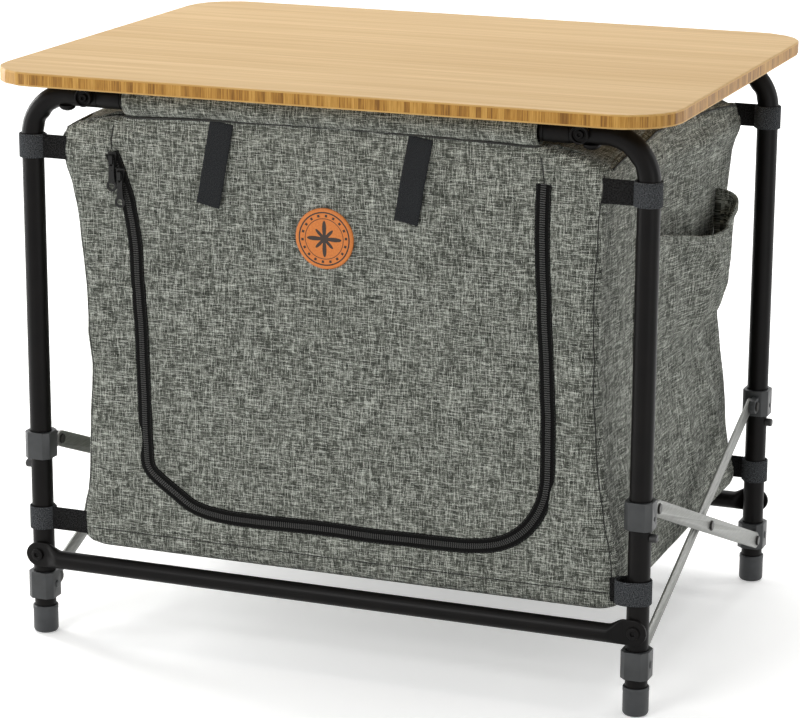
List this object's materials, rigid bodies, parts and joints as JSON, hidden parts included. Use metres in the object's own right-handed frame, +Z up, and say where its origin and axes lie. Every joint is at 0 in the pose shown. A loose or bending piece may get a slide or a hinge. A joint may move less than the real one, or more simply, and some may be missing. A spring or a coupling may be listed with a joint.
{
  "type": "folding chuck box",
  "caption": "Folding camp cabinet: a tube frame with scissor sides, a hung fabric body with a zipped door, and a rounded bamboo board on top.",
  "frame": {"origin": "on the ground, under the middle of the board", "axes": "+X to the right of someone facing the door, +Y from the door to the back, +Z up"},
  "size_m": [0.6, 0.46, 0.51],
  "materials": {
    "bamboo_ply": "satin lacquer",
    "black_coated_steel_tube": "satin powder coat",
    "black_moulded_nylon": "matt moulded",
    "zinc_plated_strip": "dull plated",
    "blackened_steel": "satin",
    "grey_green_melange_polyester": "woven melange",
    "charcoal_hook_and_loop": "hook and loop tape",
    "orange_tan_leather": "matt"
  },
  "bodies": {
    "front_frame": {"front_leg_left": "black_coated_steel_tube", "front_foot_left": "black_moulded_nylon", "front_coupling_left": "black_moulded_nylon", "front_fixed_collar_left": "black_moulded_nylon", "front_lower_pivot_left": "blackened_steel", "front_leg_right": "black_coated_steel_tube", "front_foot_right": "black_moulded_nylon", "front_coupling_right": "black_moulded_nylon", "front_fixed_collar_right": "black_moulded_nylon", "front_lower_pivot_right": "blackened_steel", "front_top_rail": "black_coated_steel_tube", "front_bottom_rail": "black_coated_steel_tube", "front_cloth": "grey_green_melange_polyester", "door_zip": "charcoal_hook_and_loop", "zip_slider_upper": "blackened_steel", "zip_slider_lower": "blackened_steel", "side_cloth_left": "grey_green_melange_polyester", "side_cloth_right": "grey_green_melange_polyester", "top_cloth": "grey_green_melange_polyester", "floor_cloth": "grey_green_melange_polyester", "side_pocket": "grey_green_melange_polyester"},
    "rear_frame": {"rear_leg_left": "black_coated_steel_tube", "rear_foot_left": "black_moulded_nylon", "rear_coupling_left": "black_moulded_nylon", "rear_fixed_collar_left": "black_moulded_nylon", "rear_lower_pivot_left": "blackened_steel", "rear_leg_right": "black_coated_steel_tube", "rear_foot_right": "black_moulded_nylon", "rear_coupling_right": "black_moulded_nylon", "rear_fixed_collar_right": "black_moulded_nylon", "rear_lower_pivot_right": "blackened_steel", "rear_top_rail": "black_coated_steel_tube", "rear_bottom_rail": "black_coated_steel_tube", "back_cloth": "grey_green_melange_polyester"},
    "inner_bar_left": {"inner_brace_bar_left": "zinc_plated_strip", "brace_centre_rivet_left": "blackened_steel"},
    "outer_bar_left": {"outer_brace_bar_left": "zinc_plated_strip"},
    "front_collar_left": {"front_sliding_collar_left": "black_moulded_nylon", "front_upper_pivot_left": "blackened_steel"},
    "rear_collar_left": {"rear_sliding_collar_left": "black_moulded_nylon", "rear_upper_pivot_left": "blackened_steel"},
    "front_button_left": {"front_button_left": "black_moulded_nylon"},
    "rear_button_left": {"rear_button_left": "black_moulded_nylon"},
    "inner_bar_right": {"inner_brace_bar_right": "zinc_plated_strip", "brace_centre_rivet_right": "blackened_steel"},
    "outer_bar_right": {"outer_brace_bar_right": "zinc_plated_strip"},
    "front_collar_right": {"front_sliding_collar_right": "black_moulded_nylon", "front_upper_pivot_right": "blackened_steel"},
    "rear_collar_right": {"rear_sliding_collar_right": "black_moulded_nylon", "rear_upper_pivot_right": "blackened_steel"},
    "front_button_right": {"front_button_right": "black_moulded_nylon"},
    "rear_button_right": {"rear_button_right": "black_moulded_nylon"},
    "board": {"bamboo_board": "bamboo_ply"},
    "door": {"door": "grey_green_melange_polyester", "door_patch": "orange_tan_leather", "door_tie_left": "charcoal_hook_and_loop", "door_tie_right": "charcoal_hook_and_loop"},
    "zip_pull_upper": {"zip_pull_upper": "blackened_steel"},
    "zip_pull_lower": {"zip_pull_lower": "blackened_steel"},
    "base_board": {"base_board": "grey_green_melange_polyester"}
  },
  "joints": [
    {"name": "frame_fold", "type": "hinge", "parent": "front_frame", "child": "inner_bar_right", "pos_m": [0.27195, -0.16665, 0.045], "axis": [1, 0, 0], "range_deg": [0, 66], "deforming": ["side_cloth_left", "side_cloth_right", "top_cloth", "floor_cloth", "side_pocket"]},
    {"name": "brace_cross_right", "type": "hinge", "parent": "inner_bar_right", "child": "outer_bar_right", "pos_m": [0.28305, 0, 0.1095], "axis": [1, 0, 0], "range_deg": [-132, 0]},
    {"name": "rear_lower_pivot_right", "type": "hinge", "parent": "outer_bar_right", "child": "rear_frame", "pos_m": [0.28305, 0.16665, 0.045], "axis": [1, 0, 0], "range_deg": [0, 66]},
    {"name": "front_upper_pivot_right", "type": "hinge", "parent": "outer_bar_right", "child": "front_collar_right", "pos_m": [0.28305, -0.16665, 0.174], "axis": [1, 0, 0], "range_deg": [0, 66]},
    {"name": "rear_upper_pivot_right", "type": "hinge", "parent": "inner_bar_right", "child": "rear_collar_right", "pos_m": [0.27195, 0.16665, 0.174], "axis": [1, 0, 0], "range_deg": [-66, 0]},
    {"name": "front_lower_pivot_left", "type": "hinge", "parent": "front_frame", "child": "inner_bar_left", "pos_m": [-0.27705, -0.16665, 0.045], "axis": [1, 0, 0], "range_deg": [0, 66]},
    {"name": "brace_cross_left", "type": "hinge", "parent": "inner_bar_left", "child": "outer_bar_left", "pos_m": [-0.26595, 0, 0.1095], "axis": [1, 0, 0], "range_deg": [-132, 0]},
    {"name": "front_upper_pivot_left", "type": "hinge", "parent": "outer_bar_left", "child": "front_collar_left", "pos_m": [-0.26595, -0.16665, 0.174], "axis": [1, 0, 0], "range_deg": [0, 66]},
    {"name": "rear_upper_pivot_left", "type": "hinge", "parent": "inner_bar_left", "child": "rear_collar_left", "pos_m": [-0.27705, 0.16665, 0.174], "axis": [1, 0, 0], "range_deg": [-66, 0]},
    {"name": "base_board_lift", "type": "hinge", "parent": "front_frame", "child": "base_board", "pos_m": [0, -0.1881, 0.0981], "axis": [1, 0, 0], "range_deg": [0, 88]},
    {"name": "board_lift_off", "type": "slide", "parent": "front_frame", "child": "board", "axis": [0, 0, 1], "range_m": [0, 0.06]},
    {"name": "door_roll_up", "type": "hinge", "parent": "front_frame", "child": "door", "pos_m": [0, -0.19, 0.4725], "axis": [-1, 0, 0], "range_deg": [0, 90]},
    {"name": "zip_pull_upper_swing", "type": "hinge", "parent": "front_frame", "child": "zip_pull_upper", "pos_m": [-0.1959, -0.19517, 0.4345], "axis": [-1, 0, 0], "range_deg": [0, 90]},
    {"name": "zip_pull_lower_swing", "type": "hinge", "parent": "front_frame", "child": "zip_pull_lower", "pos_m": [-0.1884, -0.19517, 0.421], "axis": [-1, 0, 0], "range_deg": [0, 90]},
    {"name": "front_button_left_press", "type": "slide", "parent": "front_frame", "child": "front_button_left", "axis": [-1, 0, 0], "range_m": [-0.0047, 0], "stiffness_N_per_m": 500, "springref_m": 0.002},
    {"name": "front_button_right_press", "type": "slide", "parent": "front_frame", "child": "front_button_right", "axis": [1, 0, 0], "range_m": [-0.0047, 0], "stiffness_N_per_m": 500, "springref_m": 0.002},
    {"name": "rear_button_left_press", "type": "slide", "parent": "rear_frame", "child": "rear_button_left", "axis": [-1, 0, 0], "range_m": [-0.0047, 0], "stiffness_N_per_m": 500, "springref_m": 0.002},
    {"name": "rear_button_right_press", "type": "slide", "parent": "rear_frame", "child": "rear_button_right", "axis": [1, 0, 0], "range_m": [-0.0047, 0], "stiffness_N_per_m": 500, "springref_m": 0.002}
  ],
  "couplings": [
    {"joint": "brace_cross_right", "follows": "frame_fold", "ratio": -2},
    {"joint": "rear_lower_pivot_right", "follows": "frame_fold", "ratio": 1},
    {"joint": "front_upper_pivot_right", "follows": "frame_fold", "ratio": 1},
    {"joint": "rear_upper_pivot_right", "follows": "frame_fold", "ratio": -1},
    {"joint": "front_lower_pivot_left", "follows": "frame_fold", "ratio": 1},
    {"joint": "brace_cross_left", "follows": "frame_fold", "ratio": -2},
    {"joint": "front_upper_pivot_left", "follows": "frame_fold", "ratio": 1},
    {"joint": "rear_upper_pivot_left", "follows": "frame_fold", "ratio": -1},
    {"joint": "base_board_lift", "follows": "frame_fold", "ratio": 1.3333}
  ]
}
